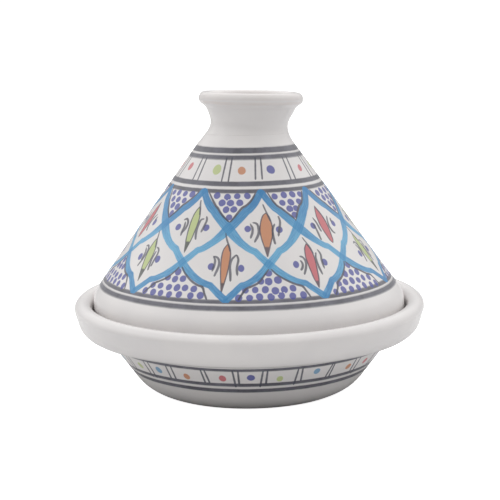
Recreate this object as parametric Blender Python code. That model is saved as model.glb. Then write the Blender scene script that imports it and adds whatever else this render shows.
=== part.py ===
"""Tagine pot in glazed earthenware: a shallow dish on a foot ring, whose collar holds a
gallery, and a tall conical lid that stands in that gallery, with a knob that is thrown
by itself and luted on to the top of the cone.

Metres, +Z up. The pot's axis is the Z axis and its foot ring stands on z = 0.
"""

from math import atan, ceil, cos, pi, radians, sin, tan

import bpy
from mathutils import Matrix, Vector

MM = 0.001

# ---- Dish: overall sizes, then the foot, the bowl, the collar and its gallery
RIM_RADIUS = 130.0 * MM          # widest radius, across the lip of the collar
DISH_HEIGHT = 67.8 * MM          # foot to the top of the lip
FOOT_RADIUS = 71.2 * MM          # outer edge of the foot ring
FOOT_RING_WIDTH = 9.0 * MM
FOOT_RECESS = 3.5 * MM           # depth turned out inside the foot ring
FOOT_EDGE = 2.4 * MM             # rounding of the foot ring's outer edge
HEEL_RUNOUT = 9.4 * MM           # from the foot's edge out to where the wall starts to climb
HEEL_HEIGHT = 3.9 * MM
HEEL_FILLET = 30.8 * MM
FLOOR_THICKNESS = 8.0 * MM
FLOOR_FILLET = 22.0 * MM         # inside, between the floor and the wall
BOWL_WALL = 8.0 * MM
COLLAR_HEIGHT = 24.0 * MM        # outer face of the collar
COLLAR_FLARE = radians(15.6)     # lean of that face, outwards from the vertical
COLLAR_OVERHANG = 19.7 * MM      # from the bowl's neck out to the collar's lower edge
COLLAR_UNDERSIDE_RISE = 5.7 * MM
COLLAR_LOWER_FILLET = 12.6 * MM
LIP_THICKNESS = 13.0 * MM
LIP_OUTER_FILLET = 5.9 * MM
LIP_INNER_FILLET = 7.0 * MM
GALLERY_DEPTH = 17.8 * MM        # from the top of the lip down to the ledge
LEDGE_WIDTH = 12.8 * MM
SMALL_EDGE = 1.5 * MM            # soft edges left by the potter's sponge

# ---- Lid: skirt, cone and the knob
SEAT_GAP = 0.3 * MM              # between the ledge and the foot of the skirt
SKIRT_CLEARANCE = 1.5 * MM       # all round, between the gallery's wall and the skirt
SKIRT_HEIGHT = 21.0 * MM         # from the ledge to the corner where the cone begins
SKIRT_WALL = 8.0 * MM
SHOULDER_FILLET = 13.9 * MM
CONE_HEIGHT = 117.7 * MM         # from that corner to the seam under the knob
CONE_WALL = 7.0 * MM
CONE_ROOF = 9.0 * MM             # thickness of clay that closes the cone
ROOF_FILLET = 12.0 * MM
LUTING_GAP = 0.3 * MM            # the slip seam between the cone and the knob
KNOB_BASE_RADIUS = 30.2 * MM
KNOB_WAIST_RADIUS = 26.9 * MM
KNOB_WAIST_HEIGHT = 6.9 * MM     # heights of the knob are measured from the seam
KNOB_WAIST_FILLET = 13.3 * MM
KNOB_NECK_RADIUS = 33.1 * MM     # where the flare meets the underside of the knob's lip
KNOB_NECK_HEIGHT = 18.8 * MM
KNOB_NECK_FILLET = 11.3 * MM
KNOB_LIP_RADIUS = 37.9 * MM      # lower edge of the knob's lip
KNOB_LIP_HEIGHT = 22.2 * MM
KNOB_TOP_RADIUS = 39.1 * MM      # upper edge of the knob's lip
KNOB_HEIGHT = 29.6 * MM
KNOB_EDGE = 4.5 * MM             # rounding of the edges of the knob's lip
CUP_DEPTH = 16.0 * MM            # hollow in the top of the knob
CUP_WALL = 8.5 * MM
CUP_FILLET = 8.0 * MM

# ---- How finely a turned shape is divided
SEGMENTS = 60
ARC_STEP = radians(24.0)
SIDE_SHARE = 0.98                # of a section's side, what its two fillets may take up

# ---- Places that follow from the sizes above
FLOOR_HEIGHT = FOOT_RECESS + FLOOR_THICKNESS
HEEL_RADIUS = FOOT_RADIUS + HEEL_RUNOUT
LIP_CORNER_ANGLE = pi / 2 - COLLAR_FLARE
LIP_CORNER_RADIUS = RIM_RADIUS - LIP_OUTER_FILLET + LIP_OUTER_FILLET / tan(LIP_CORNER_ANGLE / 2)
COLLAR_LOWER_RADIUS = LIP_CORNER_RADIUS - COLLAR_HEIGHT * tan(COLLAR_FLARE)
COLLAR_LOWER_HEIGHT = DISH_HEIGHT - COLLAR_HEIGHT
NECK_RADIUS = COLLAR_LOWER_RADIUS - COLLAR_OVERHANG
NECK_HEIGHT = COLLAR_LOWER_HEIGHT - COLLAR_UNDERSIDE_RISE
GALLERY_RADIUS = RIM_RADIUS - LIP_THICKNESS
LEDGE_HEIGHT = DISH_HEIGHT - GALLERY_DEPTH
MOUTH_RADIUS = GALLERY_RADIUS - LEDGE_WIDTH
SKIRT_RADIUS = GALLERY_RADIUS - SKIRT_CLEARANCE
SKIRT_FOOT = LEDGE_HEIGHT + SEAT_GAP
SHOULDER_HEIGHT = LEDGE_HEIGHT + SKIRT_HEIGHT
SEAM_HEIGHT = SHOULDER_HEIGHT + CONE_HEIGHT


def rounded_outline(corners):
    """Points along a section given as (radius, height, fillet) corners.

    Each corner with a fillet is replaced by the arc that touches its two sides. Where
    two fillets don't fit on the side between them, both are made smaller.
    """
    places = [Vector(corner[:2]) for corner in corners]
    half_angles = [pi / 2] * len(corners)
    setbacks = [0.0] * len(corners)
    for index in range(1, len(corners) - 1):
        back = places[index - 1] - places[index]
        ahead = places[index + 1] - places[index]
        half_angles[index] = back.angle(ahead) / 2
        setbacks[index] = corners[index][2] / tan(half_angles[index])
    points = []
    for index, corner in enumerate(places):
        if setbacks[index] == 0.0:
            points.append(corner)
            continue
        back = places[index - 1] - corner
        ahead = places[index + 1] - corner
        room_back = SIDE_SHARE * back.length / (setbacks[index - 1] + setbacks[index])
        room_ahead = SIDE_SHARE * ahead.length / (setbacks[index] + setbacks[index + 1])
        setback = setbacks[index] * min(1.0, room_back, room_ahead)
        arc_radius = setback * tan(half_angles[index])
        bisector = (back.normalized() + ahead.normalized()).normalized()
        centre = corner + bisector * arc_radius / sin(half_angles[index])
        spoke = corner + back.normalized() * setback - centre
        sweep = pi - 2 * half_angles[index]
        if back.cross(ahead) > 0:
            sweep = -sweep
        steps = max(2, ceil(abs(sweep) / ARC_STEP))
        for step in range(steps + 1):
            points.append(centre + Matrix.Rotation(sweep * step / steps, 2) @ spoke)
    return points


def glaze(name, colour, roughness):
    """Fired glaze: a Principled BSDF with the part's colour and a clear top coat."""
    material = bpy.data.materials.new(name)
    material.use_nodes = True
    shader = material.node_tree.nodes["Principled BSDF"]
    shader.inputs["Base Color"].default_value = (*colour, 1.0)
    shader.inputs["Roughness"].default_value = roughness
    shader.inputs["Metallic"].default_value = 0.0
    shader.inputs["Coat Weight"].default_value = 0.5
    material.diffuse_color = (*colour, 1.0)
    return material


def turned_part(name, corners, material):
    """A piece thrown on the wheel: its section, run from the axis over the top and down
    the outer side back to the axis, and turned once about Z by a Screw modifier."""
    points = rounded_outline(corners)
    mesh = bpy.data.meshes.new(name)
    vertices = [(point.x, 0.0, point.y) for point in points]
    edges = [(index, index + 1) for index in range(len(points) - 1)]
    mesh.from_pydata(vertices, edges, [])
    mesh.materials.append(material)
    part = bpy.data.objects.new(name, mesh)
    bpy.context.scene.collection.objects.link(part)
    screw = part.modifiers.new("Turned on the wheel", "SCREW")
    screw.axis = "Z"
    screw.steps = SEGMENTS
    screw.render_steps = SEGMENTS
    screw.use_merge_vertices = True
    screw.merge_threshold = 0.00001
    screw.use_smooth_shade = True
    return part


def dish_section():
    """Section of the dish: floor, inner wall, ledge, gallery, lip, collar, bowl and foot."""
    wall_slope = (NECK_RADIUS - HEEL_RADIUS) / (NECK_HEIGHT - HEEL_HEIGHT)
    outer_at_floor = HEEL_RADIUS + wall_slope * (FLOOR_HEIGHT - HEEL_HEIGHT)
    inner_at_floor = outer_at_floor - BOWL_WALL / cos(atan(wall_slope))
    recess_radius = FOOT_RADIUS - FOOT_RING_WIDTH
    return [
        (0.0, FLOOR_HEIGHT, 0.0),
        (inner_at_floor, FLOOR_HEIGHT, FLOOR_FILLET),
        (MOUTH_RADIUS, LEDGE_HEIGHT, SMALL_EDGE),
        (GALLERY_RADIUS, LEDGE_HEIGHT, SMALL_EDGE),
        (GALLERY_RADIUS, DISH_HEIGHT, LIP_INNER_FILLET),
        (LIP_CORNER_RADIUS, DISH_HEIGHT, LIP_OUTER_FILLET),
        (COLLAR_LOWER_RADIUS, COLLAR_LOWER_HEIGHT, COLLAR_LOWER_FILLET),
        (NECK_RADIUS, NECK_HEIGHT, SMALL_EDGE),
        (HEEL_RADIUS, HEEL_HEIGHT, HEEL_FILLET),
        (FOOT_RADIUS, 0.0, FOOT_EDGE),
        (recess_radius, 0.0, SMALL_EDGE),
        (recess_radius, FOOT_RECESS, SMALL_EDGE),
        (0.0, FOOT_RECESS, 0.0),
    ]


def cone_section():
    """Section of the lid's cone: flat top for the knob, cone, shoulder, skirt and hollow."""
    slope = (SKIRT_RADIUS - KNOB_BASE_RADIUS) / CONE_HEIGHT
    wall_across = CONE_WALL / cos(atan(slope))
    roof_height = SEAM_HEIGHT - CONE_ROOF
    roof_radius = KNOB_BASE_RADIUS + slope * CONE_ROOF - wall_across
    inner_skirt_radius = SKIRT_RADIUS - SKIRT_WALL
    inner_shoulder_height = SHOULDER_HEIGHT + (SKIRT_WALL - wall_across) / slope
    return [
        (0.0, SEAM_HEIGHT, 0.0),
        (KNOB_BASE_RADIUS, SEAM_HEIGHT, 0.0),
        (SKIRT_RADIUS, SHOULDER_HEIGHT, SHOULDER_FILLET),
        (SKIRT_RADIUS, SKIRT_FOOT, SMALL_EDGE),
        (inner_skirt_radius, SKIRT_FOOT, SMALL_EDGE),
        (inner_skirt_radius, inner_shoulder_height, SHOULDER_FILLET),
        (roof_radius, roof_height, ROOF_FILLET),
        (0.0, roof_height, 0.0),
    ]


def knob_section():
    """Section of the knob: cup, lip, flare, waist and the flat foot that is luted on."""
    cup_floor = SEAM_HEIGHT + KNOB_HEIGHT - CUP_DEPTH
    foot_height = SEAM_HEIGHT + LUTING_GAP
    return [
        (0.0, cup_floor, 0.0),
        (KNOB_NECK_RADIUS - CUP_WALL, cup_floor, CUP_FILLET),
        (KNOB_TOP_RADIUS - CUP_WALL, SEAM_HEIGHT + KNOB_HEIGHT, KNOB_EDGE),
        (KNOB_TOP_RADIUS, SEAM_HEIGHT + KNOB_HEIGHT, KNOB_EDGE),
        (KNOB_LIP_RADIUS, SEAM_HEIGHT + KNOB_LIP_HEIGHT, KNOB_EDGE),
        (KNOB_NECK_RADIUS, SEAM_HEIGHT + KNOB_NECK_HEIGHT, KNOB_NECK_FILLET),
        (KNOB_WAIST_RADIUS, SEAM_HEIGHT + KNOB_WAIST_HEIGHT, KNOB_WAIST_FILLET),
        (KNOB_BASE_RADIUS, foot_height, 0.0),
        (0.0, foot_height, 0.0),
    ]


for old_object in list(bpy.data.objects):
    bpy.data.objects.remove(old_object, do_unlink=True)

turned_part("dish", dish_section(), glaze("dish_glaze", (0.62, 0.60, 0.60), 0.20))

# The lid's two pieces hang from one empty on the pot's axis, at the ledge that the lid
# stands on and lifts from.
lid = bpy.data.objects.new("lid_lift_axis", None)
lid.location = (0.0, 0.0, LEDGE_HEIGHT)
bpy.context.scene.collection.objects.link(lid)
LID_PIECES = (
    ("lid_cone", cone_section(), glaze("cone_glaze", (0.60, 0.57, 0.57), 0.20)),
    ("lid_knob", knob_section(), glaze("knob_glaze", (0.62, 0.59, 0.59), 0.22)),
)
for piece_name, section, finish in LID_PIECES:
    piece = turned_part(piece_name, section, finish)
    piece.parent = lid
    piece.matrix_parent_inverse = Matrix.Translation(-lid.location)
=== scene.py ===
"""The looks of a painted tagine: a footed dish, a tall cone lid and its luted knob."""
from math import atan, cos, radians

import bpy
import numpy as np
from mathutils import Matrix, Vector


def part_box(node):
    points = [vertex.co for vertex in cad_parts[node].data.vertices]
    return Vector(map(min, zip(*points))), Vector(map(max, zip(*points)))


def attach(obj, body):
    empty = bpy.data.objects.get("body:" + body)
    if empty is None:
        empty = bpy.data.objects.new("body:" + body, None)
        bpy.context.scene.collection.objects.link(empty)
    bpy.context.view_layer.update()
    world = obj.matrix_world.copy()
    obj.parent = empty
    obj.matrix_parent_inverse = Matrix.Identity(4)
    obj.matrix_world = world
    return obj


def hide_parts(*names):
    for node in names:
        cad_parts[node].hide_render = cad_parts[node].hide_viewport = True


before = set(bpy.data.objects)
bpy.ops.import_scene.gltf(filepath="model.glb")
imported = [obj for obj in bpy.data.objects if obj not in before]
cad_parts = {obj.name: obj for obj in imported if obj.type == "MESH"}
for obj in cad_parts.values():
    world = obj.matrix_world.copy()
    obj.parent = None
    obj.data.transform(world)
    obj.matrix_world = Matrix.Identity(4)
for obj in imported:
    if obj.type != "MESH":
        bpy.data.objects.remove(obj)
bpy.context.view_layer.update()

# ---------------------------------------------------------------------------------
# The dish is thrown in red earthenware, its foot ring is turned once the clay is
# leather hard, and it is dipped in white tin glaze. A ledge inside the flared collar
# carries the lid, and a belt of panels with dots is painted under the collar.
# ---------------------------------------------------------------------------------
MM = 0.001
cone_low, cone_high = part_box("lid_cone")
SEAT_GAP = 0.3 * MM
SKIRT_CLEARANCE = 1.5 * MM
LEDGE_WIDTH = 12.8 * MM
SOFT_EDGE = 1.5 * MM

DISH_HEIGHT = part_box("dish")[1][2]
LEDGE_HEIGHT = cone_low[2] - SEAT_GAP
SKIRT_RADIUS = cone_high[0]
GALLERY_RADIUS = SKIRT_RADIUS + SKIRT_CLEARANCE
MOUTH_RADIUS = GALLERY_RADIUS - LEDGE_WIDTH
LIP_INNER_FILLET = 7.0 * MM
LIP_OUTER_FILLET = 5.9 * MM
COLLAR_CORNER = (131.9 * MM, DISH_HEIGHT)
COLLAR_LOWER = (125.2 * MM, DISH_HEIGHT - 24.0 * MM)
COLLAR_LOWER_FILLET = 12.6 * MM
NECK = (105.5 * MM, DISH_HEIGHT - 29.7 * MM)
HEEL = (80.6 * MM, 3.9 * MM)
HEEL_FILLET = 30.8 * MM
FOOT_RADIUS = 71.2 * MM
FOOT_INNER_RADIUS = 62.2 * MM
FOOT_RECESS = 3.5 * MM
FLOOR_HEIGHT = 11.5 * MM
FLOOR_CORNER_RADIUS = 76.2 * MM
FLOOR_FILLET = 22.0 * MM
FOOT_EDGE = 2.4 * MM


def section(corners):
    """Points along a section of (radius, height, fillet, step) corners.

    A corner is the arc that touches both its sides, at a setback of its fillet divided
    by the tangent of half the angle between them. The run after it is cut into equal
    parts no longer than its step, and the arc into parts of six degrees or less.
    """
    places = np.array([corner[:2] for corner in corners])
    pieces = [places[:1]]
    steps = [corners[0][3]]
    for index in range(1, len(corners) - 1):
        corner = places[index]
        back = places[index - 1] - corner
        ahead = places[index + 1] - corner
        back /= np.linalg.norm(back)
        ahead /= np.linalg.norm(ahead)
        half_angle = np.arccos(np.clip(back @ ahead, -1.0, 1.0)) / 2
        fillet = corners[index][2]
        middle = (back + ahead) / np.linalg.norm(back + ahead)
        centre = corner + middle * fillet / np.sin(half_angle)
        spoke = corner + back * fillet / np.tan(half_angle) - centre
        sweep = np.pi - 2 * half_angle
        if back[0] * ahead[1] - back[1] * ahead[0] > 0:
            sweep = -sweep
        parts = max(2, int(np.ceil(abs(sweep) / radians(6.0))))
        turn = np.linspace(0.0, sweep, parts + 1)
        arc = np.stack([np.cos(turn) * spoke[0] - np.sin(turn) * spoke[1],
                        np.sin(turn) * spoke[0] + np.cos(turn) * spoke[1]], axis=1)
        pieces.append(centre + arc)
        steps += [corners[index][3]] * (parts + 1)
    pieces.append(places[-1:])
    outline = np.concatenate(pieces)
    runs = []
    for start, end, step in zip(outline[:-1], outline[1:], steps):
        parts = max(1, int(np.ceil(np.linalg.norm(end - start) / step)))
        runs.append(start + (end - start) * (np.arange(parts) / parts)[:, None])
    runs.append(outline[-1:])
    return np.concatenate(runs)


THROWING_PITCH = 6.2 * MM


def throwing_marks(radius, height, azimuth, depth, seed):
    """How far the wall stands off its true circle: slow cosine waves round the pot, two,
    three and five to a turn and each weaker in that ratio, and shallow rings that climb
    like a thread, one to each throwing pitch."""
    draws = np.random.default_rng(seed)
    stand_off = np.zeros(np.broadcast(radius, azimuth).shape)
    for waves in (2, 3, 5):
        phase = draws.uniform(0.0, 2 * np.pi)
        lean = draws.uniform(-12.0, 12.0)
        stand_off += depth * np.cos(waves * azimuth + phase + lean * height / (100.0 * MM)) / waves
    climb = height / THROWING_PITCH + azimuth / (2 * np.pi)
    uneven = 0.6 + 0.4 * np.cos(3 * azimuth + seed)
    stand_off += 0.18 * depth * np.cos(2 * np.pi * climb) * uneven
    return stand_off * np.clip(radius / (30.0 * MM), 0.0, 1.0)


class Thrown:
    """A piece turned on the wheel: a point (radius, height) of its outline is carried round
    the axis to (radius sin azimuth, -radius cos azimuth, height), azimuth 0 at the front.
    The outline's two ends are poles on the axis, and run is the distance along it in
    millimetres from a mark."""

    def __init__(self, outline, mark, columns, depth, seed, settle=None):
        self.outline = outline / MM
        lengths = np.hypot(*np.diff(self.outline, axis=0).T)
        self.run = np.concatenate([[0.0], np.cumsum(lengths)]) - lengths[:mark].sum()
        self.columns = columns
        azimuth = np.arange(columns) * (2 * np.pi / columns)
        radius = outline[1:-1, :1]
        height = outline[1:-1, 1:]
        reach = radius + throwing_marks(radius, height, azimuth, depth, seed)
        across = reach * np.sin(azimuth)
        back = -reach * np.cos(azimuth)
        self.rings = np.stack(np.broadcast_arrays(across, back, height), axis=-1)
        if settle:
            self.rings = settle(self.rings)
        self.settle = settle

    def mesh(self, name):
        """Quads between neighbouring rings, and a fan of triangles at each pole."""
        ends = self.outline[[0, -1], 1]
        poles = np.stack([ends * 0.0, ends * 0.0, ends], axis=1) * MM
        if self.settle:
            poles = self.settle(poles)
        vertices = np.concatenate([self.rings.reshape(-1, 3), poles])
        count = len(self.rings)
        ring = np.arange(count - 1)[:, None] * self.columns
        here = np.arange(self.columns)[None, :]
        there = (here + 1) % self.columns
        below = ring + self.columns
        quads = np.stack([ring + here, below + here, below + there, ring + there], axis=-1)
        last = (count - 1) * self.columns
        pole = np.full(self.columns, count * self.columns)
        first_fan = np.stack([pole, here[0], there[0]], axis=1)
        last_fan = np.stack([pole + 1, last + there[0], last + here[0]], axis=1)
        made = bpy.data.meshes.new(name)
        made.from_pydata(vertices.tolist(), [], quads.reshape(-1, 4).tolist()
                         + first_fan.tolist() + last_fan.tolist())
        made.shade_smooth()
        self.piece = bpy.data.objects.new(name, made)
        bpy.context.scene.collection.objects.link(self.piece)
        return self.piece

    def corners(self):
        """The corners of every quad in millimetres, ring by ring, in the mesh's own order."""
        here = self.rings / MM
        beside = np.roll(here, -1, axis=1)
        return np.stack([here[:-1], here[1:], beside[1:], beside[:-1]], axis=2)

    def keep_by_ring(self, name, values):
        """Stores a value for each outline point on the corners of the quads round its ring."""
        ring = values[1:-1]
        rows = np.arange(len(ring) - 1)
        upper = np.broadcast_to(ring[:-1, None], (len(rows), self.columns))
        lower = np.broadcast_to(ring[1:, None], (len(rows), self.columns))
        self.keep(name, rows, np.stack([upper, lower, lower, upper], axis=2)[..., None], 0.0)

    def between(self, start, end):
        """Which rows of quads have their middle between two runs."""
        middle = (self.run[1:-2] + self.run[2:-1]) / 2
        return np.flatnonzero((middle > start) & (middle < end))

    def at(self, run):
        """Radius and height of the outline at a run, in millimetres."""
        return np.interp(run, self.run, self.outline[:, 0]), np.interp(run, self.run, self.outline[:, 1])

    def on_wall(self, azimuth, run):
        """Places on the wall, and the directions down it, out of it and east along it there.
        Down is the change over 1 mm of run, and out is down crossed with east."""
        turn = np.radians(np.asarray(azimuth, float))
        run = np.broadcast_to(np.asarray(run, float), turn.shape)
        radius, height = self.at(run)
        widen, drop = np.subtract(self.at(run + 0.5), self.at(run - 0.5))
        level = np.zeros_like(turn)
        place = np.stack([radius * np.sin(turn), -radius * np.cos(turn), height], axis=-1)
        down = np.stack([widen * np.sin(turn), -widen * np.cos(turn), drop], axis=-1)
        east = np.stack([np.cos(turn), np.sin(turn), level], axis=-1)
        outward = np.cross(down, east)
        return (place, down / np.linalg.norm(down, axis=-1, keepdims=True),
                outward / np.linalg.norm(outward, axis=-1, keepdims=True), east)

    def local(self, azimuth, run, spots):
        """Azimuth and run of spots given in millimetres right of and below one place."""
        spots = np.asarray(spots, float)
        runs = run + spots[:, 1]
        return azimuth + np.degrees(spots[:, 0] / self.at(runs)[0]), runs

    def keep(self, name, rows, values, far):
        """Stores corner values on the mesh: those given on their rows of quads, and one far
        value everywhere else."""
        width = values.shape[-1]
        kind, member = {1: ("FLOAT", "value"), 3: ("FLOAT_VECTOR", "vector"),
                        4: ("FLOAT_COLOR", "color")}[width]
        held = np.empty((len(self.piece.data.loops), width), dtype=np.float32)
        held[:] = far
        quad_corners = (len(self.rings) - 1) * self.columns * 4
        by_row = held[:quad_corners].reshape(-1, self.columns, 4, width)
        by_row[rows] = values.reshape(len(rows), self.columns, 4, width)
        attribute = self.piece.data.attributes.new(name, kind, "CORNER")
        attribute.data.foreach_set(member, held.ravel())


class BrushLine:
    """One stroke of a brush on a wall, sampled along its middle: places, the direction of
    travel, the direction to its right, the length so far and half the stroke's width."""

    def __init__(self, wall, azimuth, run, half_width):
        self.place, _, outward, _ = wall.on_wall(azimuth, run)
        travel = np.gradient(self.place, axis=0)
        self.travel = travel / np.linalg.norm(travel, axis=1, keepdims=True)
        self.right = np.cross(outward, self.travel)
        steps = np.linalg.norm(np.diff(self.place, axis=0), axis=1)
        self.length = np.concatenate([[0.0], np.cumsum(steps)])
        share = np.linspace(0.0, 1.0, len(half_width))
        self.half_width = np.interp(self.length / self.length[-1], share, half_width)


def nearest_owner(corners, places, owners):
    """For each quad, the owner of the place nearest to its middle. The squared distance
    is taken without the middle's own square, which is the same for every place."""
    middles = corners.mean(axis=1).astype(np.float32)
    places = places.astype(np.float32)
    apart = (places ** 2).sum(axis=1) - 2.0 * middles @ places.T
    return owners[apart.argmin(axis=1)]


def along_lines(corners, lines):
    """For each quad, its corners measured from the nearest line: millimetres to the right
    of it, length along it, how far past its ends, and half the stroke's width there."""
    owners = np.repeat(np.arange(len(lines)), [len(line.place) for line in lines])
    owner = nearest_owner(corners, np.concatenate([line.place for line in lines]), owners)
    measured = np.zeros((len(corners), 4, 4))
    for index, line in enumerate(lines):
        quads = np.flatnonzero(owner == index)
        spots = corners[quads].reshape(-1, 3)
        apart = (line.place ** 2).sum(axis=1) - 2.0 * spots @ line.place.T
        pick = apart.argmin(axis=1)
        gap = spots - line.place[pick]
        ahead = (gap * line.travel[pick]).sum(axis=1)
        past = np.where(pick == len(line.place) - 1, ahead, np.where(pick == 0, -ahead, 0.0))
        across = (gap * line.right[pick]).sum(axis=1)
        found = [across, line.length[pick] + ahead, past.clip(0.0), line.half_width[pick]]
        measured[quads] = np.stack(found, axis=1).reshape(-1, 4, 4)
    return measured, owner


END_ROUNDING = 1.4


def stroke_field(corners, lines):
    """(across, reach, along) at each corner: paint lies where across is within reach of the
    middle. Reach shrinks past a stroke's ends, which rounds them."""
    measured, _ = along_lines(corners, lines)
    across, along, past, half_width = np.moveaxis(measured, -1, 0)
    return np.stack([across, half_width - END_ROUNDING * past, along], axis=-1)


def dot_field(wall, corners, dots):
    """(sideways, downward, size) at each corner, sideways and downward in half-sizes of the
    nearest dot, and that dot's paint. A dot is azimuth, run, half width, half height,
    lean in degrees and paint."""
    azimuth, run, half_width, half_height, lean = np.array([dot[:5] for dot in dots], float).T
    place, down, _, east = wall.on_wall(azimuth, run)
    owner = nearest_owner(corners, place, np.arange(len(dots)))
    turn = np.radians(lean)[:, None]
    side = east * np.cos(turn) + down * np.sin(turn)
    below = down * np.cos(turn) - east * np.sin(turn)
    gap = corners - place[owner][:, None]
    sideways = (gap * side[owner][:, None]).sum(axis=2) / half_width[owner][:, None]
    downward = (gap * below[owner][:, None]).sum(axis=2) / half_height[owner][:, None]
    size = np.broadcast_to(((half_width + half_height) / 2)[owner][:, None], sideways.shape)
    paints = np.array([(*dot[5], 1.0) for dot in dots])
    paint = np.repeat(paints[owner][:, None], 4, axis=1)
    return np.stack([sideways, downward, size], axis=-1), paint


def round_the_pot(front, count):
    """Azimuths as a painter leaves them at the front, the rest spaced evenly round."""
    rest = np.linspace(front[-1], front[0] + 360.0, count - len(front) + 2)[1:-1]
    return np.concatenate([front, rest])


class Layer:
    """One socket of a finish. Arithmetic on it adds Math nodes, node() adds any other.
    A Layer without a socket is bare ground to start from."""

    def __init__(self, tree, socket=None):
        self.tree = tree
        self.socket = socket

    def node(self, kind, settings, inputs, output=0):
        """Adds a node: its settings come first (a ramp's stops as place and grey), then the
        values or layers of its inputs."""
        made = self.tree.nodes.new(kind)
        for name, value in settings.items():
            if name != "stops":
                setattr(made, name, value)
                continue
            ramp = made.color_ramp
            while len(ramp.elements) < len(value):
                ramp.elements.new(1.0)
            for element, (place, shade) in zip(ramp.elements, value):
                element.position = place
                element.color = (shade, shade, shade, 1.0)
        for name, value in inputs.items():
            if isinstance(value, Layer):
                self.tree.links.new(value.socket, made.inputs[name])
            else:
                made.inputs[name].default_value = value
        return Layer(self.tree, made.outputs[output])

    def output(self, name):
        """Another output of the node that this layer comes from."""
        return Layer(self.tree, self.socket.node.outputs[name])

    def math(self, operation, *values, clamp=False):
        """A Math node on the values, held between 0 and 1 where clamp is true."""
        settings = {"operation": operation, "use_clamp": clamp}
        return self.node("ShaderNodeMath", settings, dict(enumerate(values)))

    def __add__(self, other):
        return self.math("ADD", self, other)

    def __sub__(self, other):
        return self.math("SUBTRACT", self, other)

    def __rsub__(self, other):
        return self.math("SUBTRACT", other, self)

    def __mul__(self, other):
        return self.math("MULTIPLY", self, other)

    __radd__ = __add__
    __rmul__ = __mul__

    def __abs__(self):
        return self.math("ABSOLUTE", self)

    def most(self, other):
        """The greater of the two."""
        return self.math("MAXIMUM", self, other)

    def held(self, lift):
        """This layer lifted by a value or a layer and held between 0 and 1."""
        return self.math("ADD", self, lift, clamp=True)

    def edge(self, softness):
        """Turns millimetres inside a shape into cover, 0 to 1, over a soft edge."""
        return self.math("MULTIPLY_ADD", self, 1.0 / softness, 0.5, clamp=True)

    def over(self, ground, paint):
        """Paint laid over a ground colour, with this layer as its cover."""
        return self.node("ShaderNodeMix", {"data_type": "RGBA"}, {0: self, 6: ground, 7: paint}, 2)

    def noise(self, place, scale, detail=2.0, roughness=0.5):
        """Cloud noise about zero, between -0.5 and 0.5, scale in clouds to the metre."""
        inputs = {"Vector": place, "Scale": scale, "Detail": detail, "Roughness": roughness}
        return self.node("ShaderNodeTexNoise", {}, inputs) - 0.5

    def field(self, name, output="Vector"):
        """Values kept on the mesh under a name."""
        return self.node("ShaderNodeAttribute", {"attribute_name": name}, {}, output)

    def parts(self):
        """The three numbers that a vector holds."""
        split = self.node("ShaderNodeSeparateXYZ", {}, {0: self}, "X")
        return split, split.output("Y"), split.output("Z")


GLAZE_WHITE = (0.815, 0.787, 0.775, 1.0)
GLAZE_SHADE = (0.747, 0.724, 0.724, 1.0)
GLAZE_THIN = (0.707, 0.570, 0.502, 1.0)
CLAY = (0.430, 0.190, 0.105, 1.0)
CLAY_PALE = (0.560, 0.300, 0.190, 1.0)
SPECK = (0.130, 0.080, 0.060, 1.0)
INK = (0.057, 0.059, 0.080, 1.0)
INK_THIN = (0.154, 0.154, 0.199, 1.0)


class GlazedFinish:
    """Tin glaze over red clay, as a material under way: its ground is clouded white, warmer
    where the glaze runs thin, and bare clay where none was laid. Paints go over it."""

    def __init__(self, name):
        self.material = bpy.data.materials.new(name)
        self.material.use_nodes = True
        self.tree = self.material.node_tree
        self.shader = self.tree.nodes["Principled BSDF"]
        start = Layer(self.tree)
        self.start = start
        self.place = start.node("ShaderNodeTexCoord", {}, {}, "Object")
        clouds = start.noise(self.place, 14.0, 3.0)
        self.fine = start.noise(self.place, 260.0)
        self.broad = start.noise(self.place, 45.0)
        shade = (clouds * 2.2 + self.broad * 0.8).held(0.35)
        self.colour = shade.over(GLAZE_WHITE, GLAZE_SHADE)
        thin = start.field("thin", "Fac") * (0.22 + self.broad * 0.7)
        self.colour = thin.over(self.colour, GLAZE_THIN)
        cells = {"Vector": self.place, "Scale": 85.0}
        from_cell = start.node("ShaderNodeTexVoronoi", {}, cells, "Distance")
        chosen = start.noise(self.place, 61.0, 1.0)
        speck = start.math("MULTIPLY", (chosen - 0.14) * 0.35 - from_cell, 40.0, clamp=True)
        self.colour = (speck * 0.6).over(self.colour, SPECK)
        self.paint = None

    def lay(self, cover, paint, strength=1.0):
        """Lays a paint over what is there already, and notes where paint lies."""
        self.colour = (cover * strength).over(self.colour, paint)
        self.paint = cover if self.paint is None else self.paint.most(cover)

    def finish(self, piece):
        """Fires the piece: bare clay shows where no glaze was laid, paint is a little less
        glossy than glaze and stands a little proud, and the glaze is pitted like peel."""
        start = self.start
        clay = (self.broad * 1.5 + self.fine + 0.5).over(CLAY, CLAY_PALE)
        unglazed = start.field("bare", "Fac") - 0.5
        bare = (unglazed + self.broad * 0.5 + self.fine * 0.25).edge(0.12)
        colour = bare.over(self.colour, clay)
        gloss = 0.17 + self.broad * 0.12 + self.fine * 0.06
        peel = start.noise(self.place, 420.0)
        grit = start.noise(self.place, 1500.0)
        relief = self.broad * 0.35 + peel * 0.10 + grit * bare * 0.5
        if self.paint:
            gloss = gloss + self.paint * 0.07
            relief = relief + self.paint * 0.035
        rough = gloss + bare * 0.62
        pitted = {"Strength": 0.55, "Distance": 0.6 * MM, "Height": relief}
        bump = start.node("ShaderNodeBump", {}, pitted)
        self.tree.links.new(colour.socket, self.shader.inputs["Base Color"])
        self.tree.links.new(rough.socket, self.shader.inputs["Roughness"])
        self.tree.links.new(bump.socket, self.shader.inputs["Normal"])
        self.shader.inputs["IOR"].default_value = 1.5
        piece.data.materials.append(self.material)


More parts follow.
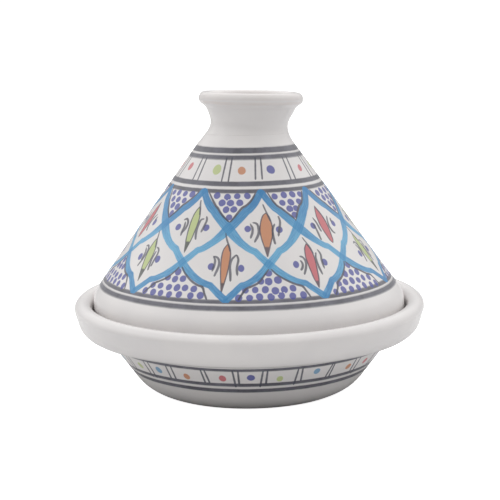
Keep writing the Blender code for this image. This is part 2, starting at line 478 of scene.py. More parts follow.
def wall_marks(wall, bare_height, bare_inside, bare_outside):
    """Keeps three values on a thrown piece: its run, where its glaze is thin, and where it
    is bare, which is below a height and between two radii. Glaze runs thin where the
    section turns sharply outward: the turn per millimetre, from 0 at a radius of 6.7 mm
    to 1 at 2.9 mm."""
    step = np.diff(wall.outline, axis=0)
    heading = np.unwrap(np.arctan2(step[:, 1], step[:, 0]))
    length = np.hypot(*step.T)
    bend = np.zeros(len(wall.outline))
    bend[1:-1] = np.diff(heading) / ((length[:-1] + length[1:]) / 2)
    radius, height = wall.outline.T
    bare = (height < bare_height) & (radius > bare_inside) & (radius < bare_outside)
    wall.keep_by_ring("run", wall.run)
    wall.keep_by_ring("thin", np.clip(-bend * 5.0 - 0.75, 0.0, 1.0))
    wall.keep_by_ring("bare", bare.astype(float))


def smoothstep(value, start, end):
    """0 before start, 1 past end, and 3 t squared less 2 t cubed between, where t is the
    share of the way."""
    t = np.clip((value - start) / (end - start), 0.0, 1.0)
    return t * t * (3.0 - 2.0 * t)


LIP_DIP = 2.6 * MM


def dipping(points):
    """The lip stands lower at the front and as much higher at the back, where the dish was
    held as it came off the wheel. The dip follows the cosine of the azimuth and fades out
    over 12 mm down the collar."""
    points = points.copy()
    reach = np.hypot(points[..., 0], points[..., 1]).clip(MM)
    dip = LIP_DIP * smoothstep(points[..., 2], 55.0 * MM, 67.0 * MM)
    points[..., 2] += dip * points[..., 1] / reach
    return points


FINE = 1.6 * MM
PLAIN = 4.0 * MM
dish_outline = section([
    (0.0, FLOOR_HEIGHT, 0.0, PLAIN),
    (FLOOR_CORNER_RADIUS, FLOOR_HEIGHT, FLOOR_FILLET, PLAIN),
    (MOUTH_RADIUS, LEDGE_HEIGHT, SOFT_EDGE, PLAIN),
    (GALLERY_RADIUS, LEDGE_HEIGHT, SOFT_EDGE, PLAIN),
    (GALLERY_RADIUS, DISH_HEIGHT, LIP_INNER_FILLET, PLAIN),
    (*COLLAR_CORNER, LIP_OUTER_FILLET, PLAIN),
    (*COLLAR_LOWER, COLLAR_LOWER_FILLET, PLAIN),
    (*NECK, SOFT_EDGE, FINE),
    (*HEEL, HEEL_FILLET, PLAIN),
    (FOOT_RADIUS, 0.0, FOOT_EDGE, PLAIN),
    (FOOT_INNER_RADIUS, 0.0, SOFT_EDGE, PLAIN),
    (FOOT_INNER_RADIUS, FOOT_RECESS, SOFT_EDGE, PLAIN),
    (0.0, FOOT_RECESS, 0.0, PLAIN),
])


def nearest_point(outline, radius, height):
    """Which of the outline's points lies nearest to a radius and a height."""
    return int(np.argmin(np.hypot(outline[:, 0] - radius, outline[:, 1] - height)))


crest = nearest_point(dish_outline, GALLERY_RADIUS + LIP_INNER_FILLET, DISH_HEIGHT)
dish = Thrown(dish_outline, crest, 480, 0.30 * MM, 3, dipping)
glazed_dish = dish.mesh("glazed_dish")
# The foot ring is wiped clean of glaze so that it doesn't stick to the kiln's shelf.
wall_marks(dish, 0.9, 62.0, 72.5)

RED = (0.593, 0.131, 0.154)
GREEN = (0.513, 0.593, 0.251)
ORANGE = (0.593, 0.245, 0.114)
BLUE = (0.070, 0.082, 0.345)
SKY = (0.148, 0.342, 0.547)

# The belt's sizes are runs from the crest of the lip. Its front eight pairs of lines and
# dots are each their own, and the rest are drawn by chance within the same bounds.
UNPAINTED = (99.0, -99.0, 0.0)
BELT_TOP = 51.0
BELT_FOOT = 63.5
DISH_PANELS = 27
belt = dish.between(BELT_TOP - 4.0, BELT_FOOT + 6.0)
belt_corners = dish.corners()[belt].reshape(-1, 4, 3)
pair_middles = round_the_pot((-45.3, -33.3, -18.0, -5.4, 5.5, 19.6, 33.7, 47.7), DISH_PANELS)
pair_gaps = np.concatenate([(2.5, 2.4, 1.7, 1.8, 2.0, 2.2, 1.4, 2.6),
                            np.random.default_rng(11).uniform(1.5, 2.6, DISH_PANELS - 8)])
draws = np.random.default_rng(12)
belt_lines = []
for middle, gap in zip(pair_middles, pair_gaps):
    for side in (-0.5, 0.5):
        slant = draws.uniform(-0.5, 0.5)
        foot = BELT_FOOT + draws.choice((0.6, 0.6, 4.0))
        azimuth = middle + side * gap + slant * np.linspace(-1.0, 1.0, 14)
        run = np.linspace(BELT_TOP - 1.0, foot, 14)
        belt_lines.append(BrushLine(dish, azimuth, run, (0.60, 0.72, 0.68)))
dish.keep("rules", belt, stroke_field(belt_corners, belt_lines), UNPAINTED)

belt_dots = [
    (-51.0, 57.6, 2.5, 3.0, 0.0, GREEN),
    (-39.5, 57.3, 2.5, 3.1, 8.0, SKY),
    (-26.2, 59.4, 2.5, 3.1, 0.0, ORANGE),
    (-10.9, 58.4, 2.4, 3.0, 0.0, RED),
    (0.3, 57.2, 2.9, 3.1, 0.0, BLUE),
    (11.8, 59.3, 2.4, 3.0, 0.0, GREEN),
    (27.0, 55.3, 2.4, 3.0, 0.0, SKY),
    (43.4, 57.3, 2.5, 2.9, -8.0, ORANGE),
]
for index in range(DISH_PANELS - 8):
    azimuth = (pair_middles[7 + index] + pair_middles[8 + index]) / 2 + draws.uniform(-0.9, 0.9)
    run = draws.uniform(56.0, 59.5)
    half_width = draws.uniform(2.3, 2.9)
    half_height = draws.uniform(2.8, 3.2)
    paint = (RED, BLUE, GREEN, SKY, ORANGE)[index % 5]
    belt_dots.append((azimuth, run, half_width, half_height, draws.uniform(-8.0, 8.0), paint))
dots, paints = dot_field(dish, belt_corners, belt_dots)
dish.keep("dots", belt, dots, 99.0)
dish.keep("dot_paint", belt, paints, 0.5)


def banded(finish, bands, length, softness=0.35):
    """Cover of the rings of ink that the brush leaves as the wheel turns: 1 between the
    start and end of each band of run, with the whole set swaying a little as it goes."""
    run = finish.start.field("run", "Fac")
    sway = finish.start.noise(finish.place, 9.0, 1.0) * 1.3 + finish.broad * 0.5 + finish.fine * 0.25
    stops = [(0.0, 0.0)]
    for start, end in bands:
        for middle, cover in ((start, (0.0, 1.0)), (end, (1.0, 0.0))):
            stops.append(((middle - softness / 2) / length, cover[0]))
            stops.append(((middle + softness / 2) / length, cover[1]))
    share = (run + sway) * (1.0 / length)
    return finish.start.node("ShaderNodeValToRGB", {"stops": stops}, {"Fac": share})


def inked(finish):
    """The ink's own colour, which thins in streaks that the brush leaves."""
    streaks = finish.start.noise(finish.place, 110.0, 3.0, 0.65)
    return (streaks * 1.6 + finish.broad * 0.8).held(0.32).over(INK, INK_THIN)


def stroked(finish, name):
    """Cover of brush strokes held as (across, reach, along), with a slightly ragged edge."""
    across, reach, _ = finish.start.field(name).parts()
    return (reach - abs(across + finish.broad * 0.3) + finish.fine * 0.3).edge(0.35)


def dotted(finish):
    """Cover of dots held as (sideways, downward, size): inside is one less the distance
    from the middle in half-sizes, times the size."""
    sideways, downward, size = finish.start.field("dots").parts()
    out = finish.start.math("SQRT", sideways * sideways + downward * downward)
    return ((1.0 - out) * size + finish.broad * 0.9 + finish.fine * 0.6).edge(0.45)


dish_finish = GlazedFinish("dish_tin_glaze")
bands = banded(dish_finish, ((48.0, 51.0), (63.5, 67.0), (69.5, 73.5)), 120.0)
ink = inked(dish_finish)
dish_finish.lay(bands, ink, 0.93)
dish_finish.lay(stroked(dish_finish, "rules"), ink, 0.9)
dish_finish.lay(dotted(dish_finish), dish_finish.start.field("dot_paint", "Color"), 0.9)
dish_finish.finish(glazed_dish)
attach(glazed_dish, "dish")
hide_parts("dish")

# ---------------------------------------------------------------------------------
# The lid's cone is thrown upside down in one piece with its skirt, which drops into
# the dish's gallery. The lattice of ribbons, leaves and dots is painted on the raw
# white glaze by hand, nine repeats round, and fired with it.
# ---------------------------------------------------------------------------------
SEAM_HEIGHT = cone_high[2]
SEAM_RADIUS = 30.2 * MM
SLIP_RADIUS = SEAM_RADIUS + 0.5 * MM
SLIP_DEPTH = 4.0 * MM
SHOULDER_HEIGHT = LEDGE_HEIGHT + 21.0 * MM
SHOULDER_FILLET = 13.9 * MM
SKIRT_WALL = 8.0 * MM
CONE_WALL = 7.0 * MM
ROOF = 9.0 * MM
CONE_SLOPE = (SKIRT_RADIUS - SEAM_RADIUS) / (SEAM_HEIGHT - SHOULDER_HEIGHT)
WALL_ACROSS = CONE_WALL / cos(atan(CONE_SLOPE))
SKIRT_INSIDE = SKIRT_RADIUS - SKIRT_WALL
ROOF_RADIUS = SEAM_RADIUS + CONE_SLOPE * ROOF - WALL_ACROSS


def leaning(points):
    """The cone leans a little to one side over its skirt, and the knob was luted on to the
    other: its clay moves sideways, and its lip tips down by a fortieth that way. Each
    comes in smoothly with the height."""
    points = points.copy()
    height = points[..., 2]
    shift = 4.4 * MM * smoothstep(height, 180.0 * MM, 205.0 * MM)
    shift -= 1.3 * MM * smoothstep(height, 55.0 * MM, 90.0 * MM)
    tip = -0.025 * points[..., 0] * smoothstep(height, 199.0 * MM, 212.0 * MM)
    points[..., 2] += tip
    points[..., 0] += shift
    return points


cone_outline = section([
    (0.0, SEAM_HEIGHT, 0.0, PLAIN),
    (SLIP_RADIUS, SEAM_HEIGHT, 0.05 * MM, FINE),
    (SEAM_RADIUS + CONE_SLOPE * SLIP_DEPTH, SEAM_HEIGHT - SLIP_DEPTH, 20.0 * MM, FINE),
    (SKIRT_RADIUS, SHOULDER_HEIGHT, SHOULDER_FILLET, PLAIN),
    (SKIRT_RADIUS, cone_low[2], SOFT_EDGE, PLAIN),
    (SKIRT_INSIDE, cone_low[2], SOFT_EDGE, PLAIN),
    (SKIRT_INSIDE, SHOULDER_HEIGHT + (SKIRT_WALL - WALL_ACROSS) / CONE_SLOPE, SHOULDER_FILLET, PLAIN),
    (ROOF_RADIUS, SEAM_HEIGHT - ROOF, 12.0 * MM, PLAIN),
    (0.0, SEAM_HEIGHT - ROOF, 0.0, PLAIN),
])
seam = nearest_point(cone_outline, SLIP_RADIUS, SEAM_HEIGHT)
cone = Thrown(cone_outline, seam, 456, 0.25 * MM, 5, leaning)
painted_cone = cone.mesh("painted_cone")
# The skirt's foot is wiped clean too, 0.6 mm up.
wall_marks(cone, cone_low[2] / MM + 0.6, 107.0, 115.2)

# Ribbons meet at nodes on four levels of run. A cusp between two levels has its share of
# the way round, its share of the way down, and the power that bends the ribbon towards it.
LEVELS = (45.0, 74.5, 102.0, 128.5)
REPEATS = 9
NODES = (round_the_pot((-71.0, -32.0, 9.2, 45.5), REPEATS),
         round_the_pot((-51.5, -10.5, 28.0, 67.0), REPEATS),
         round_the_pot((-70.0, -30.0, 8.8, 47.0), REPEATS),
         round_the_pot((-49.0, -8.5, 29.3, 70.0), REPEATS))
CUSPS = ((0.52, 0.53, 1.35), (0.70, 0.635, 1.35), (0.68, 0.58, 1.5))


def node_azimuth(level, repeat):
    """Azimuth of a place where ribbons meet, a whole turn further on past the last repeat."""
    return NODES[level][repeat % REPEATS] + 360.0 * (repeat // REPEATS)


def ribbon_path(repeats):
    """Azimuth and run of one ribbon through the nodes of the four levels. Between two it
    is a bracket: it flattens out towards a cusp as 1 less a power of the way left to go,
    then drops straight on to the node."""
    u = np.linspace(0.0, 1.0, 40, endpoint=False)
    azimuths, runs = [], []
    for level, (cusp_u, cusp_t, bend) in enumerate(CUSPS):
        start = node_azimuth(level, repeats[level])
        end = node_azimuth(level + 1, repeats[level + 1])
        first = cusp_t * (1.0 - (1.0 - np.minimum(u / cusp_u, 1.0)) ** bend)
        second = (1.0 - cusp_t) * np.clip((u - cusp_u) / (1.0 - cusp_u), 0.0, 1.0)
        azimuths.append(start + (end - start) * u)
        runs.append(LEVELS[level] + (LEVELS[level + 1] - LEVELS[level]) * (first + second))
    azimuths.append([node_azimuth(3, repeats[3])])
    runs.append([LEVELS[3]])
    return np.concatenate(azimuths), np.concatenate(runs)


def smooth_line(points, per_span=12):
    """A Catmull-Rom curve through the points: each span is the cubic whose slope at a
    point is half the way from the point before it to the point after."""
    points = np.asarray(points, float)
    before = 2 * points[:1] - points[1:2]
    after = 2 * points[-1:] - points[-2:-1]
    padded = np.concatenate([before, points, after])
    t = np.linspace(0.0, 1.0, per_span, endpoint=False)[:, None]
    a = padded[:-3, None]
    b = padded[1:-2, None]
    c = padded[2:-1, None]
    d = padded[3:, None]
    squared = 2 * a - 5 * b + 4 * c - d
    cubed = 3 * b - a - 3 * c + d
    spans = 0.5 * (2 * b + (c - a) * t + squared * t ** 2 + cubed * t ** 3)
    return np.concatenate([spans.reshape(-1, points.shape[1]), points[-1:]])


# A ribbon's half widths down its length, and the ink lines that leave a node of the third
# level on either side of a tent of dots, as degrees from the node and run.
RIBBON_WIDTHS = (2.3, 2.8, 3.3, 3.6, 2.6, 2.4, 2.9, 2.4, 2.3, 2.6)
TENT_SIDES = (((0.4, 105.3), (3.2, 110.5), (7.0, 115.3), (10.2, 118.0), (12.2, 119.3), (13.4, 123.5),
               (14.4, 128.0)),
              ((-0.6, 105.3), (-2.4, 109.5), (-5.0, 114.8), (-7.6, 117.8), (-9.4, 119.5), (-11.2, 123.5),
               (-13.0, 128.0)))
frieze = cone.between(40.0, 133.0)
frieze_corners = cone.corners()[frieze].reshape(-1, 4, 3)
ribbons = {"ribbon_right": [], "ribbon_left": []}
outlines = []
draws = np.random.default_rng(21)
for repeat in range(REPEATS):
    ways = (("ribbon_right", (repeat, repeat, repeat + 1, repeat + 1), 1.0),
            ("ribbon_left", (repeat, repeat - 1, repeat - 1, repeat - 2), -1.0))
    for name, repeats, side in ways:
        azimuth, run = ribbon_path(repeats)
        ribbons[name].append(BrushLine(cone, azimuth, run, RIBBON_WIDTHS))
        # An ink line follows the top third of each ribbon, a wavering gap outside it.
        azimuth = azimuth[3:37]
        run = run[3:37]
        radius = cone.at(run)[0]
        gap = 3.2 + 0.5 * np.cos(np.arange(34) / 5.0 + draws.uniform(0.0, 6.3)) + draws.uniform(-0.3, 0.4)
        eastward = np.gradient(azimuth) * np.radians(radius)
        downward = np.gradient(run)
        gap *= side / np.hypot(eastward, downward)
        azimuth = azimuth + np.degrees(gap * downward / radius)
        outlines.append(BrushLine(cone, azimuth, run - gap * eastward, (0.50, 0.80, 0.85, 0.60)))
    for side in TENT_SIDES:
        line = smooth_line(np.array(side) + draws.normal(0.0, 0.25, (len(side), 2)))
        azimuth = node_azimuth(2, repeat) + line[:, 0]
        outlines.append(BrushLine(cone, azimuth, line[:, 1], (0.55, 0.75, 0.85, 0.7)))
for name, lines in ribbons.items():
    cone.keep(name, frieze, stroke_field(frieze_corners, lines), UNPAINTED)
cone.keep("outlines", frieze, stroke_field(frieze_corners, outlines), UNPAINTED)

# Leaves are given in millimetres right of and below their middles: how far a leaf's top and
# foot lean sideways, how far down its dark tip starts, its half widths down its length, its
# stem, the strokes beside it (two on its left, two on its right) and its two dots.
UPPER_LEAVES = (
    dict(paint=RED, lean=(-0.3, -0.9), dark_from=99.0,
         half_widths=((-14, 0), (-11, 1.4), (-6, 3.0), (0, 3.7), (5, 3.3), (10, 2.4), (14, 1.5), (16, 0)),
         stem=((-0.3, -14.6), (0.4, -11.5), (2.4, -6), (3.2, 0)),
         strokes=(((-7.8, -5.2), (-6.7, -1), (-6.4, 6.3)),
                  ((-10.2, -1.2), (-9.8, 3), (-10.4, 12.5)),
                  ((7.4, -4.9), (5.2, -1), (4.3, 4), (5.1, 7.5), (6.8, 9.3)),
                  ((10.2, -3.2), (9.1, 0.3))),
         dots=((-11.0, 1.0), (10.6, 1.5))),
    dict(paint=GREEN, lean=(0.0, 0.4), dark_from=12.0,
         half_widths=((-15.5, 0), (-11, 2.0), (-5, 2.9), (3, 2.7), (10, 2.1), (14, 1.3), (20.5, 0)),
         stem=((-0.8, -21), (-0.2, -17.5), (1.0, -14), (2.2, -9)),
         strokes=(((-9, -4.2), (-6.6, -5.3), (-4.9, -2.2), (-5.2, 2), (-7.2, 6)),
                  ((-7.4, -2.6), (-6.8, 1), (-7.3, 5), (-7.2, 8)),
                  ((6.6, -6.2), (4.5, -5), (3.9, 1), (4.5, 6), (5.6, 9.8)),
                  ((7.8, -8.7), (9.1, -5), (8.5, 0), (7.8, 4.3))),
         dots=((-12.1, 1.7), (10.6, 0.5))),
    dict(paint=ORANGE, lean=(1.6, -0.7), dark_from=15.0,
         half_widths=((-11.5, 0), (-9.5, 2.0), (-5, 3.5), (0, 4.4), (5, 4.2), (10, 3.2), (15, 1.8),
                      (22, 0)),
         stem=((0.3, -19), (1.2, -15.5), (2.8, -10.5), (4.4, -5)),
         strokes=(((-10, -3.2), (-8.7, 0), (-9.3, 4), (-10.8, 7.6)),
                  ((-8.2, -4.3), (-5.3, -3.4), (-4.6, 0.5), (-5.2, 5), (-8.3, 10.7)),
                  ((7.1, -2.9), (5.3, 1), (4.9, 6), (5.7, 13)),
                  ((10.4, -8.7), (11.2, -5), (10.6, -1), (8.7, 6.8))),
         dots=((-12.0, 0.6), (9.9, 1.8))),
)
LOWER_LEAVES = (
    dict(paint=GREEN, lean=(-1.6, 1.3), dark_from=9.5,
         half_widths=((-15, 0), (-11, 2.0), (-5, 3.4), (2, 3.2), (8, 2.3), (12, 1.6), (18.7, 0)),
         stem=((-3.4, -21), (-2.0, -17.5), (-0.6, -13), (1.4, -8)),
         strokes=(((-9.5, -7.4), (-7.2, -8.4), (-5.2, -5.5), (-5.2, 0), (-7.8, 8.5)),
                  ((-8.8, -6.2), (-6.8, -3.2), (-7.0, 3.5)),
                  ((4.5, -5.5), (4.2, 1.5), (5.8, 10)),
                  ((3.3, -8.3), (6.0, -7), (7.2, -3.5), (6.9, 2.5), (6.8, 6.5))),
         dots=((-10.2, 1.3), (9.8, 0.5))),
    dict(paint=ORANGE, lean=(-0.7, -1.7), dark_from=14.0,
         half_widths=((-15, 0), (-11, 2.3), (-5, 3.0), (2, 2.7), (9, 2.0), (14, 1.2), (21.5, 0)),
         stem=((-3, -24), (-1.4, -18), (0.2, -14), (1.6, -9)),
         strokes=(((-9.6, -5.6), (-7.0, -4.9), (-5.4, -2.3), (-5.5, 2.5), (-7.7, 9.3)),
                  ((-9.6, -5.6), (-8.2, -2.5), (-8.5, 1.5), (-9.6, 5.5)),
                  ((5.9, -7), (3.2, -3.5), (2.4, 1.5), (3.2, 7.5), (3.7, 13)),
                  ((6.2, -7), (7.6, -3.5), (7.2, 2.5), (8, 8.5))),
         dots=((-10.6, 2.2), (10.1, 3.0))),
    dict(paint=RED, lean=(0.4, -1.3), dark_from=15.0,
         half_widths=((-13.5, 0), (-10, 2.1), (-4, 3.3), (2, 3.2), (8, 2.6), (14, 1.8), (20.2, 0)),
         stem=((-0.9, -18.5), (0.8, -14.5), (2.4, -10.5), (3.4, -5)),
         strokes=(((-8, -4.3), (-5.9, -3.7), (-4.7, -1), (-5.6, 3.5), (-9, 9.6)),
                  ((-8.4, -1.5), (-7.6, 1.5), (-8.8, 4.5), (-10.3, 6)),
                  ((5.8, -6), (4.3, -2.5), (4.0, 3.5), (4.9, 11)),
                  ((7.7, -8.5), (9.2, -4.5), (8.3, 0.5), (8.2, 6.5))),
         dots=((-12.5, 1.5), (10.3, 2.0))),
)
# The runs of the leaves' middles in the two rows, and the rows of blue dots in the spaces
# above and below them: run, degrees from dot to dot, and how many.
LEAF_CENTRES = (74.0, 101.5)
DOT_ROWS = (((49.3, 6.7, 4), (54.8, 6.2, 3), (60.0, 4.9, 2), (65.5, 0.0, 1)),
            ((108.8, 0.0, 1), (114.3, 3.7, 3), (121.0, 3.75, 6), (126.2, 4.1, 7)))
axes = []
shapes = []
inner_strokes = []
outer_strokes = []
cone_dots = []
draws = np.random.default_rng(22)
for repeat in range(REPEATS):
    for row, leaves in enumerate((UPPER_LEAVES, LOWER_LEAVES)):
        leaf = leaves[repeat % 3]
        azimuth = (node_azimuth(row, repeat) + node_azimuth(row + 2, repeat)) / 2
        centre = LEAF_CENTRES[row]
        # The brush slips by about half a millimetre on the repeats round the back.
        hand = 0.45 if repeat > 3 else 0.0
        profile = smooth_line(leaf["half_widths"])
        first, last = profile[[0, -1], 0]
        spots = np.stack([np.linspace(*leaf["lean"], 40), np.linspace(first, last, 40)], axis=1)
        axes.append(BrushLine(cone, *cone.local(azimuth, centre, spots), (0.0,)))
        shapes.append((profile, first, leaf["dark_from"], leaf["paint"]))
        for index, stroke in enumerate((leaf["stem"], *leaf["strokes"])):
            spots = smooth_line(np.array(stroke, float) + draws.normal(0.0, 1.0, (len(stroke), 2)) * hand)
            weight = 0.58 if index == 0 else 0.80
            half_width = weight * np.array((0.75, 1.0, 1.05, 1.15, 0.9))
            line = BrushLine(cone, *cone.local(azimuth, centre, spots), half_width)
            # A field holds only the nearest stroke, so neighbours go into different fields.
            (outer_strokes if index in (2, 4) else inner_strokes).append(line)
        for sideways, below in leaf["dots"]:
            spot = (sideways + draws.normal() * hand, below + draws.normal() * hand)
            (dot_azimuth,), (dot_run,) = cone.local(azimuth, centre, [spot])
            cone_dots.append((dot_azimuth, dot_run, draws.uniform(2.2, 2.5), draws.uniform(2.5, 2.8),
                              draws.uniform(-15.0, 15.0), BLUE))
    for level, rows in zip((1, 2), DOT_ROWS):
        lean = draws.uniform(-0.8, 0.8)
        for run, pitch, count in rows:
            radius = float(cone.at(run)[0])
            for index in range(count):
                azimuth = node_azimuth(level, repeat) + lean + (index - (count - 1) / 2) * pitch
                azimuth += np.degrees(draws.normal(0.0, 0.35) / radius)
                size = draws.uniform(2.25, 2.6)
                cone_dots.append((azimuth, run + draws.normal(0.0, 0.4), size,
                                  size * draws.uniform(1.0, 1.15), draws.uniform(-20.0, 20.0), BLUE))
cone.keep("inner_strokes", frieze, stroke_field(frieze_corners, inner_strokes), UNPAINTED)
cone.keep("outer_strokes", frieze, stroke_field(frieze_corners, outer_strokes), UNPAINTED)

measured, owner = along_lines(frieze_corners, axes)
across, along, past, _ = np.moveaxis(measured, -1, 0)
leaf_field = np.full(across.shape + (3,), 99.0)
leaf_paint = np.full(across.shape + (4,), 1.0)
for index, (profile, first, dark_from, paint) in enumerate(shapes):
    quads = owner == index
    down = along[quads] + first
    width = np.interp(down, profile[:, 0], profile[:, 1]) - past[quads]
    leaf_field[quads] = np.stack([across[quads] - width, -across[quads] - width, down - dark_from], axis=-1)
    leaf_paint[quads] = (*paint, 1.0)
cone.keep("leaves", frieze, leaf_field, 99.0)
cone.keep("leaf_paint", frieze, leaf_paint, 0.5)

belt = cone.between(16.0, 40.0)
belt_corners = cone.corners()[belt].reshape(-1, 4, 3)
CONE_PANELS = 13
pair_middles = round_the_pot((-45.2, -17.7, 9.5, 39.3, 65.7), CONE_PANELS)
pair_slants = np.concatenate([(1.5, 0.0, -1.6, -1.3, -1.5),
                              np.random.default_rng(23).uniform(-1.5, 1.5, CONE_PANELS - 5)])
draws = np.random.default_rng(24)
belt_lines = []
for middle, slant in zip(pair_middles, pair_slants):
    for side in (-2.7, 2.7):
        shift = draws.uniform(-0.4, 0.4)
        azimuth = np.linspace(middle + side - slant / 2, middle + side + slant / 2 + shift, 20)
        run = np.linspace(18.0, 35.8 if middle == 9.5 else 37.8, 20)
        belt_lines.append(BrushLine(cone, azimuth, run, (0.55, 0.6, 0.62, 0.55)))
cone.keep("rules", belt, stroke_field(belt_corners, belt_lines), UNPAINTED)

cone_dots += [
    (-60.0, 27.5, 2.5, 3.3, 5.0, RED),
    (-27.0, 28.3, 3.1, 4.1, 0.0, GREEN),
    (-5.0, 28.7, 2.7, 3.2, 0.0, ORANGE),
    (20.5, 28.1, 3.1, 3.5, 0.0, BLUE),
    (53.5, 28.5, 2.1, 3.1, 25.0, RED),
]
for index in range(CONE_PANELS - 5):
    azimuth = (pair_middles[4 + index] + pair_middles[5 + index]) / 2 + draws.uniform(-3.0, 3.0)
    run = draws.uniform(27.5, 29.0)
    half_width = draws.uniform(2.4, 3.0)
    half_height = draws.uniform(3.0, 3.9)
    paint = (GREEN, ORANGE, BLUE, RED)[index % 4]
    cone_dots.append((azimuth, run, half_width, half_height, draws.uniform(-12.0, 12.0), paint))
dotted_rows = cone.between(16.0, 133.0)
dots, paints = dot_field(cone, cone.corners()[dotted_rows].reshape(-1, 4, 3), cone_dots)
cone.keep("dots", dotted_rows, dots, 99.0)
cone.keep("dot_paint", dotted_rows, paints, 0.5)

TURQUOISE_PALE = (0.146, 0.440, 0.680, 1.0)
TURQUOISE_DEEP = (0.042, 0.225, 0.485, 1.0)
CONE_BANDS = ((9.5, 14.5), (15.75, 19.6), (37.25, 41.0), (43.3, 46.75), (128.0, 131.0), (132.1, 136.0))

cone_finish = GlazedFinish("cone_tin_glaze")
start = cone_finish.start
bands = banded(cone_finish, CONE_BANDS, 200.0)
ink = inked(cone_finish)
cone_finish.lay(bands, ink, 0.93)
cone_finish.lay(stroked(cone_finish, "rules"), ink, 0.9)
cone_finish.lay(dotted(cone_finish), start.field("dot_paint", "Color"), 0.88)

# A leaf is a dab of colour inside an ink line, with ink filling its tip.
right_side, left_side, below_tip = start.field("leaves").parts()
leaf_depth = right_side.most(left_side) * -1.0 + cone_finish.broad * 0.4
leaf_cover = leaf_depth.edge(0.4)
tip_cover = (below_tip + cone_finish.broad * 2.0).edge(1.2)
leaf_line = (0.46 - abs(leaf_depth) + cone_finish.fine * 0.4).edge(0.35)
cone_finish.lay(leaf_cover, start.field("leaf_paint", "Color"), 0.92)
cone_finish.lay((leaf_cover * tip_cover).most(leaf_line), ink, 0.88)

# The ribbons' paint pools to a deeper tone towards the frieze's two edges and where two
# ribbons cross, and the hairs of the brush leave streaks along it.
paleness = 0.80 - abs((start.field("run", "Fac") - 92.0) * 0.019)
covers = []
for name in ("ribbon_right", "ribbon_left"):
    across, reach, along = start.field(name).parts()
    lengthwise = start.node("ShaderNodeCombineXYZ", {}, {"X": across * 1.6, "Y": along * 0.10})
    streak = start.noise(lengthwise, 1.0, 3.0, 0.6)
    inside = reach - abs(across + cone_finish.broad * 0.5) + cone_finish.fine * 0.5
    tone = (streak * 2.6 + cone_finish.broad * 1.4).held(paleness)
    covers.append(inside.edge(0.5))
    cone_finish.lay(covers[-1], tone.over(TURQUOISE_DEEP, TURQUOISE_PALE), 0.96)
crossing = covers[0] * covers[1] * 0.45
cone_finish.colour = crossing.over(cone_finish.colour, TURQUOISE_DEEP)
cone_finish.lay(stroked(cone_finish, "outlines"), ink, 0.92)
cone_finish.lay(stroked(cone_finish, "inner_strokes"), ink, 0.85)
cone_finish.lay(stroked(cone_finish, "outer_strokes"), ink, 0.85)
cone_finish.finish(painted_cone)
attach(painted_cone, "lid")
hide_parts("lid_cone")

# ---------------------------------------------------------------------------------
# The knob is a small cup on a waisted stalk, thrown by itself and luted onto the cone
# with slip while both are damp, a little off centre. It has the same white glaze.
# ---------------------------------------------------------------------------------
KNOB_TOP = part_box("lid_knob")[1][2]
CUP_FLOOR = KNOB_TOP - 16.0 * MM
CUP_FLOOR_RADIUS = 24.6 * MM
CUP_MOUTH_RADIUS = 30.6 * MM
KNOB_RADIUS = 39.1 * MM
LIP_FOOT = (37.9 * MM, SEAM_HEIGHT + 22.2 * MM)
FLARE = (33.1 * MM, SEAM_HEIGHT + 18.8 * MM)
WAIST = (27.2 * MM, SEAM_HEIGHT + 5.8 * MM)
knob_outline = section([
    (0.0, CUP_FLOOR, 0.0, PLAIN),
    (CUP_FLOOR_RADIUS, CUP_FLOOR, 8.0 * MM, PLAIN),
    (CUP_MOUTH_RADIUS, KNOB_TOP, 4.0 * MM, FINE),
    (KNOB_RADIUS, KNOB_TOP, 4.4 * MM, FINE),
    (*LIP_FOOT, 3.6 * MM, FINE),
    (*FLARE, 9.0 * MM, FINE),
    (*WAIST, 11.0 * MM, FINE),
    (SLIP_RADIUS, SEAM_HEIGHT, 0.05 * MM, PLAIN),
    (0.0, SEAM_HEIGHT, 0.0, PLAIN),
])
knob = Thrown(knob_outline, 1, 256, 0.2 * MM, 9, leaning)
glazed_knob = knob.mesh("glazed_knob")
wall_marks(knob, 0.0, 0.0, 0.0)
knob_finish = GlazedFinish("knob_tin_glaze")
knob_finish.finish(glazed_knob)
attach(glazed_knob, "lid")
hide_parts("lid_knob")

# ---------------------------------------------------------------------------------
# The pot stands on a white table in front of a sweep of white paper. A white matt card
# throws light up under its collar, as the paper does round a pot in a studio, and a grey card
# right under the pot is painted shadow: a darker patch of table where the pot's shade falls.
# ---------------------------------------------------------------------------------
def plain_paper(name, grey, glow=0.0, roughness=1.0):
    """Matt paper of one grey, which may glow white by itself."""
    material = bpy.data.materials.new(name)
    material.use_nodes = True
    shader = material.node_tree.nodes["Principled BSDF"]
    shader.inputs["Base Color"].default_value = (grey, grey, grey, 1.0)
    shader.inputs["Roughness"].default_value = roughness
    shader.inputs["Emission Color"].default_value = (1.0, 1.0, 1.0, 1.0)
    shader.inputs["Emission Strength"].default_value = glow
    return material


def sheet(name, points, faces, material):
    """A plain surface that isn't part of the pot."""
    surface = bpy.data.meshes.new(name)
    surface.from_pydata(points, [], faces)
    surface.materials.append(material)
    laid = bpy.data.objects.new(name, surface)
    bpy.context.scene.collection.objects.link(laid)
    return laid


CORNERS = 64
ROOM = 6.0
WALL_FOOT = -0.2
WALL_TOP = 4.0


def circle(radius, height):
    """Points round the pot's axis, (radius cos turn, radius sin turn, height)."""
    turn = np.linspace(0.0, 2 * np.pi, CORNERS, endpoint=False)
    return np.stack([radius * np.cos(turn), radius * np.sin(turn), np.full(CORNERS, height)], axis=1)


table = [(-ROOM, -ROOM, 0), (ROOM, -ROOM, 0), (ROOM, ROOM, 0), (-ROOM, ROOM, 0)]
floor = sheet("floor", table, [(0, 1, 2, 3)], plain_paper("floor", 0.9, 0.9, 0.9))
floor.visible_diffuse = False
floor.visible_glossy = False
floor.visible_shadow = False
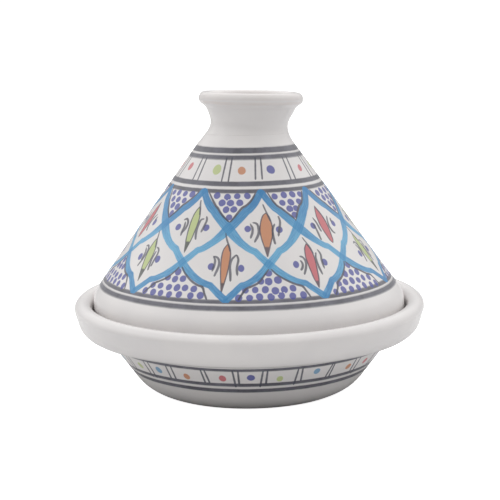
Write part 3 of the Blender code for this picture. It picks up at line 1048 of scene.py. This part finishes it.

# The cards lie just under the table, which light passes through, and aren't seen themselves.
# The small grey card is painted shadow: its darker grey dims the light under the dish's body.
for name, radius, height, grey in (("white card", 1.5, -0.10 * MM, 0.78),
                                   ("grey card", 0.10, -0.05 * MM, 0.50)):
    card = sheet(name, circle(radius, height).tolist(), [list(range(CORNERS))], plain_paper(name, grey))
    card.visible_camera = False

# The sweep of paper is only what is seen behind the pot: it sends no light of its own.
here = np.arange(CORNERS)
beside = (here + 1) % CORNERS
wall = np.stack([here, here + CORNERS, beside + CORNERS, beside], axis=1).tolist()
ceiling = [list(range(CORNERS, 2 * CORNERS))]
rims = np.concatenate([circle(ROOM, WALL_FOOT), circle(ROOM, WALL_TOP)])
paper = sheet("paper", rims.tolist(), wall + ceiling, plain_paper("paper", 0.0, 1.05))
for light_path in ("diffuse", "glossy", "transmission", "shadow"):
    setattr(paper, "visible_" + light_path, False)

# The room's light comes from large windows overhead and to both sides, brighter behind the
# pot than in front of it, where the dark of the room is reflected in the glaze.
world = bpy.data.worlds.new("studio")
world.use_nodes = True
background = world.node_tree.nodes["Background"]
room = Layer(world.node_tree)
sideways, backward, upward = room.node("ShaderNodeTexCoord", {}, {}, "Generated").parts()
overhead = room.math("MULTIPLY_ADD", upward, 2.2, -0.40, clamp=True)
windows = overhead * 1.03 + sideways * sideways * 0.56 + 0.12
level = windows * (1.0 - (backward * -0.35).most(0.0)) + backward.most(0.0) * 0.38
background.inputs["Color"].default_value = (1.0, 1.0, 1.0, 1.0)
world.node_tree.links.new(level.socket, background.inputs["Strength"])
bpy.context.scene.world = world
bpy.context.scene.view_settings.view_transform = "Standard"

LAMP_PLACE = Vector((-1.2, -0.3, 0.7))
LAMP_AIM = Vector((0.0, 0.0, 0.1))
softbox = bpy.data.lights.new("left softbox", "AREA")
softbox.shape = "SQUARE"
softbox.size = 0.9
softbox.energy = 0.4
lamp = bpy.data.objects.new("left softbox", softbox)
lamp.location = LAMP_PLACE
lamp.rotation_euler = (LAMP_AIM - LAMP_PLACE).to_track_quat("-Z", "Y").to_euler()
bpy.context.scene.collection.objects.link(lamp)

# ---------------------------------------------------------------------------------
# The camera stands a little above the pot, as someone sees it from across a table.
# It is held slightly out of level, so the pot looks turned by less than a degree.
# ---------------------------------------------------------------------------------
CAMERA_PLACE = (0.0010, -0.910, 0.2516)
CAMERA_PITCH = radians(90.0 - 9.386)
CAMERA_ROLL = radians(-0.7)
LENS = 89.0

camera = bpy.data.objects.new("camera", bpy.data.cameras.new("camera"))
camera.matrix_world = (Matrix.Translation(CAMERA_PLACE) @ Matrix.Rotation(CAMERA_PITCH, 4, "X")
                       @ Matrix.Rotation(CAMERA_ROLL, 4, "Z"))
camera.data.lens = LENS
camera.data.sensor_width = 36.0
camera.data.clip_start = 0.01
bpy.context.scene.collection.objects.link(camera)
bpy.context.scene.camera = camera
